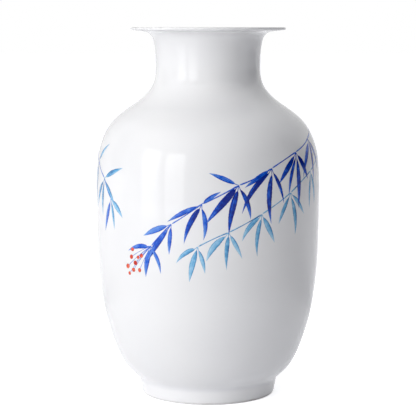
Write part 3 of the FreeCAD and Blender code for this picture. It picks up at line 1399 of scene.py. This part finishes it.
SPRAYS = (
    Spray(
        seed=21,
        knots=((84, 199), (64, 187), (45, 172), (27, 157), (10, 144), (-5, 133)),
        sprigs=(
            sprig(AZURE, (-102, 27, 0.9), (-72, 24, 0.8)),
            sprig(AZURE, (-114, 27, 0.7), (-84, 29, 0.9), (-52, 21, 0.6)),
            sprig(AZURE, (-122, 26, 0.6), (-92, 29, 0.8), (-60, 23, 0.6)),
            sprig(AZURE, (-130, 24, 0.5), (-98, 27, 0.7), (-66, 21, 0.5)),
            sprig(AZURE, (-136, 20, 0.5), (-104, 25, 0.6), (-74, 19, 0.4)),
        ),
        twig_paint=AZURE,
        twig_load=0.7,
    ),
    Spray(
        seed=3,
        knots=((87, 218), (69, 212), (51, 203), (33, 192), (15, 180), (-3, 166), (-18, 150), (-29, 132)),
        sprigs=(
            sprig(COBALT, (-128, 30, 1.0), (-98, 34, 1.2), (-66, 26, 1.1)),
            sprig(COBALT, (-138, 26, 1.1), (-112, 34, 1.3), (-84, 37, 1.4), (-58, 27, 1.2)),
            sprig(COBALT, (-147, 28, 1.0), (-121, 36, 1.4), (-93, 38, 1.2), (-64, 28, 1.4)),
            sprig(COBALT, (164, 22, 0.6), (-134, 35, 1.3), (-103, 37, 1.4), (-74, 29, 1.1)),
            sprig(COBALT, (-148, 28, 0.7), (-119, 34, 0.9), (-88, 27, 0.6), (28, 17, 0.5)),
            sprig(COBALT, (-156, 24, 0.5), (-124, 30, 0.7), (-92, 23, 0.5)),
            sprig(COBALT, (-172, 20, 0.4), (-98, 24, 0.6), (-66, 19, 0.4)),
        ),
        berries_at=(-40, 118),
    ),
    Spray(
        seed=8,
        knots=((-124, 203), (-108, 205), (-92, 201), (-77, 193), (-65, 181), (-57, 166)),
        sprigs=(
            sprig(COBALT, (-120, 30), (-88, 33), (-60, 25)),
            sprig(AZURE, (-126, 27), (-94, 31, 1.1)) + sprig(COBALT, (60, 18, 0.5)),
            sprig(AZURE, (-122, 30, 0.9), (-92, 32, 1.0), (40, 24, 0.6)),
            sprig(AZURE, (-118, 28, 0.9), (-88, 31, 0.8), (-52, 26, 0.6), (24, 24, 0.8)),
            sprig(COBALT, (-106, 26, 0.5)) + sprig(AZURE, (-78, 24, 0.8), (-44, 22, 0.6)),
        ),
        twig_load=0.35,
    ),
    Spray(
        seed=33,
        knots=((112, 143), (130, 158), (148, 170), (167, 180), (186, 187), (205, 191)),
        sprigs=(
            sprig(AZURE, (-108, 24, 0.6), (-76, 22, 0.5)),
            sprig(AZURE, (-118, 26, 0.7), (-88, 28, 0.8), (-56, 21, 0.5)),
            sprig(AZURE, (-124, 26, 0.6), (-92, 29, 0.8), (-62, 24, 0.7)),
            sprig(AZURE, (-120, 25, 0.7), (-90, 28, 0.8), (-58, 22, 0.6)),
            sprig(AZURE, (-112, 22, 0.6), (-80, 24, 0.6)),
        ),
        twig_paint=AZURE,
        twig_load=0.7,
    ),
    Spray(
        seed=15,
        knots=((104, 158), (122, 172), (141, 184), (160, 194), (179, 202), (199, 207), (219, 208)),
        sprigs=(
            sprig(COBALT, (-150, 20, 0.5), (-116, 26, 0.6), (-82, 24, 0.5)),
            sprig(COBALT, (-128, 30, 0.9), (-96, 34, 1.1), (-66, 27, 0.9)),
            sprig(COBALT, (-140, 27, 1.0), (-112, 35, 1.3), (-82, 37, 1.4), (-50, 26, 1.1)),
            sprig(COBALT, (-122, 34, 1.3), (-92, 36, 1.2), (-60, 29, 1.3)),
            sprig(COBALT, (-130, 28, 1.1), (-100, 34, 1.2), (-70, 30, 0.9), (22, 20, 0.5)),
            sprig(COBALT, (-104, 28, 0.8), (-70, 24, 0.6), (-30, 20, 0.5)),
        ),
    ),
)


@dataclass
class Studio:
    """The camera, the lamps, the floor and the white surroundings.

    Lengths are in metres, the sensor in mm and angles in degrees. The camera is fitted to the
    photograph, whose side and focal length are in pixels.
    """

    picture_side: int = 416
    focal_pixels: float = 1555.0
    sensor: float = 36.0
    camera_distance: float = 1.270
    camera_height: float = 0.302
    camera_pitch: float = 6.722
    camera_reach: float = 100.0
    sky: float = 0.59
    sky_tint: Colour = (0.974, 0.976, 1.015)
    sweep_mirrored: float = 0.86
    sweep_left: Pair = (113.0, 126.0)
    sweep_right: Pair = (118.0, 150.0)
    sweep_lean: float = 60.0
    ceiling_mirrored: float = 0.5
    ceiling_heights: Pair = (0.42, 0.62)
    room_mirrored: float = 0.12
    room_middle: float = -20.0
    room_reach: Pair = (15.0, 75.0)
    floor_white: Colour = (0.888, 0.892, 0.915)
    floor_glow: float = 0.69
    floor_mirrored: float = 0.5
    floor_back: Pair = (0.0, 0.45)
    floor_near: Pair = (0.25, 0.4)
    floor_right_end: Pair = (0.5, 1.3)
    floor_side: float = 30.0

    def build(self) -> None:
        """Sets up everything that isn't the vase."""
        self._camera()
        self._floor()
        self._world()
        for lamp in LAMPS:
            lamp.hang()
        bpy.context.scene.view_settings.view_transform = "Standard"

    def _camera(self) -> None:
        """The camera, at the photograph's distance, height and pitch."""
        data = bpy.data.cameras.new("camera")
        data.sensor_width = self.sensor
        data.lens = self.focal_pixels / self.picture_side * self.sensor
        data.clip_end = self.camera_reach
        camera = linked("camera", data)
        camera.location = (0.0, -self.camera_distance, self.camera_height)
        camera.rotation_euler = (math.radians(UP - self.camera_pitch), 0.0, 0.0)
        bpy.context.scene.camera = camera

    def _floor(self) -> None:
        """A plain pale floor that takes the vase's shadow.

        The glaze mirrors it near the vase and behind it, but not far off on the right.
        """
        half = self.floor_side / 2
        corners = [(-half, -half, 0.0), (half, -half, 0.0), (half, half, 0.0), (-half, half, 0.0)]
        mesh = bpy.data.meshes.new("floor")
        mesh.from_pydata(corners, [], [(0, 1, 2, 3)])
        floor = linked("floor", mesh)
        bench = ShaderBench("pale_floor")
        matt = bench.add("ShaderNodeBsdfDiffuse", {"Color": self.floor_white})["BSDF"]
        right, back, _ = bench.split(bench.place())
        behind = bench.eased(back, self.floor_back)
        away = bench.maths("SQRT", right * right + back * back)
        near = 1.0 - bench.eased(away, self.floor_near)
        beyond = bench.eased(right - back, self.floor_right_end)
        mirrored = bench.maths("MAXIMUM", behind, near) * (1.0 - beyond) * self.floor_mirrored
        seen, glossy = bench.watched()
        inputs = {"Color": (1.0, 1.0, 1.0), "Strength": seen * self.floor_glow + glossy * mirrored}
        glow = bench.add("ShaderNodeEmission", inputs)["Emission"]
        both = bench.add("ShaderNodeAddShader", {0: matt, 1: glow})["Shader"]
        bench.add("ShaderNodeOutputMaterial", {"Surface": both})
        mesh.materials.append(bench.material)

    def _world(self) -> None:
        """A white sweep behind the vase, a dim room before it, and a soft light from above.

        The camera sees white everywhere, and a reflection sees the sweep, ceiling and room.
        """
        world = bpy.data.worlds.new("surroundings")
        world.use_nodes = True
        bench = NodeBench(world.node_tree)
        right, back, above = bench.split(bench.add("ShaderNodeTexCoord")["Generated"])
        azimuth = bench.maths("ARCTAN2", right, 0.0 - back) * math.degrees(1.0)
        left_sweep = bench.eased(0.0 - azimuth, self.sweep_left)
        right_sweep = bench.eased(azimuth + above * self.sweep_lean, self.sweep_right)
        sweep = (left_sweep + right_sweep) * self.sweep_mirrored
        ceiling = bench.eased(above, self.ceiling_heights) * self.ceiling_mirrored
        aside = bench.maths("ABSOLUTE", azimuth - self.room_middle)
        room = (1.0 - bench.eased(aside, self.room_reach)) * self.room_mirrored
        mirrored = bench.maths("MAXIMUM", bench.maths("MAXIMUM", sweep, ceiling), room)
        seen, glossy = bench.watched()
        around = 1.0 - seen - glossy
        sky = bench.maths("MAXIMUM", above, 0.0) * self.sky
        strength = seen + glossy * mirrored + around * sky
        tint = bench.mixed(around, (1.0, 1.0, 1.0), self.sky_tint)
        inputs = {"Color": tint, "Strength": strength}
        background = bench.add("ShaderNodeBackground", inputs)["Background"]
        bench.add("ShaderNodeOutputWorld", {"Surface": background})
        bpy.context.scene.world = world


@dataclass(frozen=True)
class SoftLamp:
    """A rectangular soft lamp that looks at the vase.

    Lengths are in metres, and the azimuth is in degrees to the right of the camera.
    """

    name: str
    azimuth: float
    distance: float
    low: float
    high: float
    width: float
    radiance: float
    mirrored: bool = False

    def hang(self) -> None:
        """Puts up the lamp."""
        data = bpy.data.lights.new(self.name, "AREA")
        data.shape = "RECTANGLE"
        data.size = self.width
        data.size_y = self.high - self.low
        data.energy = self.radiance * math.pi * data.size * data.size_y
        lamp = linked(self.name, data)
        angle = math.radians(self.azimuth)
        across, before = self.distance * math.sin(angle), -self.distance * math.cos(angle)
        lamp.location = (across, before, (self.low + self.high) / 2)
        lamp.rotation_euler = (math.radians(UP), 0.0, angle)
        lamp.visible_camera = False
        lamp.visible_glossy = self.mirrored


@dataclass(frozen=True)
class WindowPane:
    """A tall window pane that dims towards the ground: a stack of soft lamps, with their units."""

    name: str
    azimuth: float
    radiance: float
    distance: float = 0.75
    low: float = 0.005
    high: float = 0.54
    width: float = 0.25
    strips: int = 8
    fade: float = 0.6

    def hang(self) -> None:
        """Puts up the pane's strips, from the lowest upwards."""
        step = (self.high - self.low) / self.strips
        for number in range(self.strips):
            low, high = self.low + number * step, self.low + (number + 1) * step
            radiance = self.radiance * ((number + MIDDLE) / self.strips) ** self.fade
            place = (self.azimuth, self.distance, low, high, self.width)
            SoftLamp(f"{self.name}_{number}", *place, radiance, mirrored=True).hang()


LAMPS = (
    WindowPane("window_left_pane", -58.0, 2.45),
    WindowPane("window_right_pane", -32.0, 2.7),
    SoftLamp("key_softbox", -48.0, 1.5, 0.0, 0.7, 1.33, 1.92),
    SoftLamp("upper_key_softbox", -48.0, 1.5, 0.7, 1.3, 1.33, 1.32),
    SoftLamp("high_left_softbox", -50.0, 1.3, 1.1, 2.5, 1.9, 1.66),
    SoftLamp("high_front_softbox", 0.0, 1.3, 1.2, 2.0, 1.4, 0.42),
    SoftLamp("front_softbox", 0.0, 2.0, 0.0, 1.3, 1.0, 0.35),
    SoftLamp("back_softbox", 180.0, 1.6, 0.1, 1.5, 1.0, 1.05),
)


def main() -> None:
    """Builds the vase round its frame."""
    logging.basicConfig(level=logging.INFO, format="%(name)s: %(message)s")
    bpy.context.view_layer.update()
    form = VaseForm()
    turning = TurningTree()
    coats = GlazeCoats(form).build(turning)
    FootRing(form).build(turning)
    CoveredClay().dress(frame["nodes"])
    Brushwork(form, SPRAYS).build(BrushTree(), coats["outer_glaze"])
    Studio().build()


if __name__ == "__main__":
    main()
